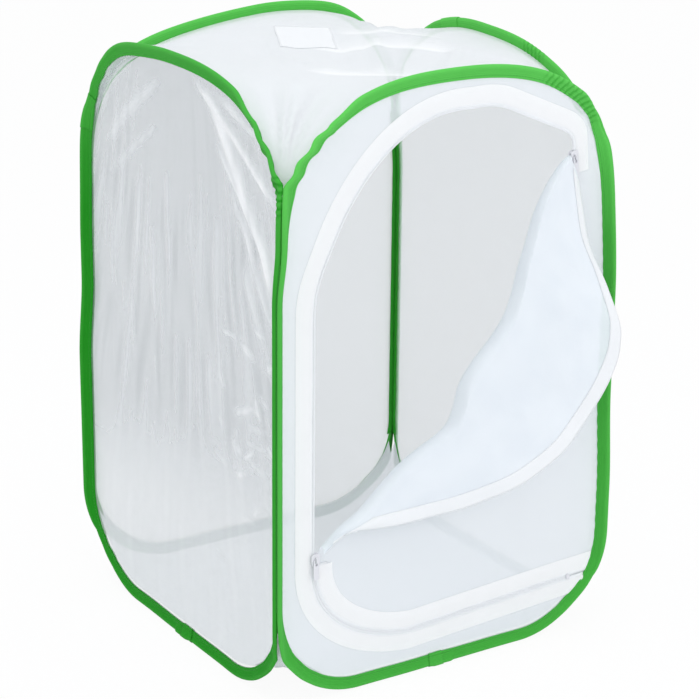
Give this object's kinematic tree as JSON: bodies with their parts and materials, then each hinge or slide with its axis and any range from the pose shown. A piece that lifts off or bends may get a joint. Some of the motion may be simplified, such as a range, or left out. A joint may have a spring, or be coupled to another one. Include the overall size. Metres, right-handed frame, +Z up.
{
  "type": "pop-up butterfly habitat",
  "caption": "Square, tall pop-up net cage on wire hoops in green binding tape, with a clear film window and a zipped net door that folds open; it folds flat.",
  "frame": {"origin": "on the ground under the middle of the square cage", "axes": "+Z up, -Y towards the front wall with the door, -X towards the clear window, +X to the right as the door is faced"},
  "size_m": [0.403, 0.4367, 0.613],
  "materials": {
    "green_tape": "bright green woven polyester tape, folded and sewn",
    "white_net": "fine white polyester net",
    "white_tape": "white woven zip tape and ribbon",
    "clear_film": "clear glossy soft film",
    "nylon_coil": "white nylon zip coil",
    "zip_metal": "nickel plated zinc",
    "spring_steel": "bare spring steel wire",
    "green_thread": "green sewing thread"
  },
  "bodies": {
    "front_wall": {"front_hoop_wire": "spring_steel", "front_wire_sleeve": "spring_steel", "front_binding": "green_tape", "front_panel": "white_net", "zip_tape_frame": "white_tape", "zip_coil_frame": "nylon_coil", "zip_tape_door": "white_tape", "zip_coil_door": "nylon_coil", "door_fold": "white_net", "upper_zip_stop": "zip_metal", "lower_zip_stop": "zip_metal", "front_left_seam": "green_thread", "front_right_seam": "green_thread", "top_panel": "white_net", "floor_panel": "white_net", "ribbon_tab": "white_tape"},
    "left_wall": {"left_hoop_wire": "spring_steel", "left_wire_sleeve": "spring_steel", "left_binding": "green_tape", "left_window": "clear_film", "back_left_seam": "green_thread"},
    "right_wall": {"right_hoop_wire": "spring_steel", "right_wire_sleeve": "spring_steel", "right_binding": "green_tape", "right_panel": "white_net"},
    "back_wall": {"back_hoop_wire": "spring_steel", "back_wire_sleeve": "spring_steel", "back_binding": "green_tape", "back_panel": "white_net", "back_right_seam": "green_thread"},
    "flap": {"door_flap": "white_net", "zip_tape_flap": "white_tape", "zip_coil_flap": "nylon_coil"},
    "upper_slider": {"upper_slider": "zip_metal"},
    "upper_pull": {"upper_pull": "zip_metal"},
    "lower_slider": {"lower_slider": "zip_metal"},
    "lower_pull": {"lower_pull": "zip_metal"}
  },
  "joints": [
    {"name": "left_fold", "type": "hinge", "parent": "front_wall", "child": "left_wall", "pos_m": [-0.19877, -0.19877, 0.28], "axis": [0, 0, 1], "range_deg": [0, 84], "stiffness_Nm_per_rad": 0.2, "deforming": ["top_panel", "floor_panel", "ribbon_tab"]},
    {"name": "right_fold", "type": "hinge", "parent": "front_wall", "child": "right_wall", "pos_m": [0.1892, -0.1892, 0.28], "axis": [0, 0, 1], "range_deg": [0, 84]},
    {"name": "back_fold", "type": "hinge", "parent": "left_wall", "child": "back_wall", "pos_m": [-0.1892, 0.1892, 0.28], "axis": [0, 0, 1], "range_deg": [-84, 0]},
    {"name": "door", "type": "hinge", "parent": "front_wall", "child": "flap", "pos_m": [0.1422, -0.198, 0.5158], "axis": [-0.6343, 0, -0.7731], "range_deg": [0, 173], "deforming": ["door_fold"]},
    {"name": "upper_zip", "type": "slide", "parent": "front_wall", "child": "upper_slider", "axis": [-0.1168, 0, 0.9932], "range_m": [-0.006, 0.008]},
    {"name": "upper_pull_swing", "type": "hinge", "parent": "upper_slider", "child": "upper_pull", "pos_m": [0.1429, -0.19665, 0.50988], "axis": [-0.9932, 0, -0.1168], "range_deg": [0, 170]},
    {"name": "lower_zip", "type": "slide", "parent": "front_wall", "child": "lower_slider", "axis": [0, 0, 1], "range_m": [0, 0.23]},
    {"name": "lower_pull_swing", "type": "hinge", "parent": "lower_slider", "child": "lower_pull", "pos_m": [-0.153, -0.19665, 0.15], "axis": [-1, 0, 0], "range_deg": [0, 170]}
  ],
  "couplings": [
    {"joint": "right_fold", "follows": "left_fold", "ratio": 1},
    {"joint": "back_fold", "follows": "left_fold", "ratio": -1}
  ]
}
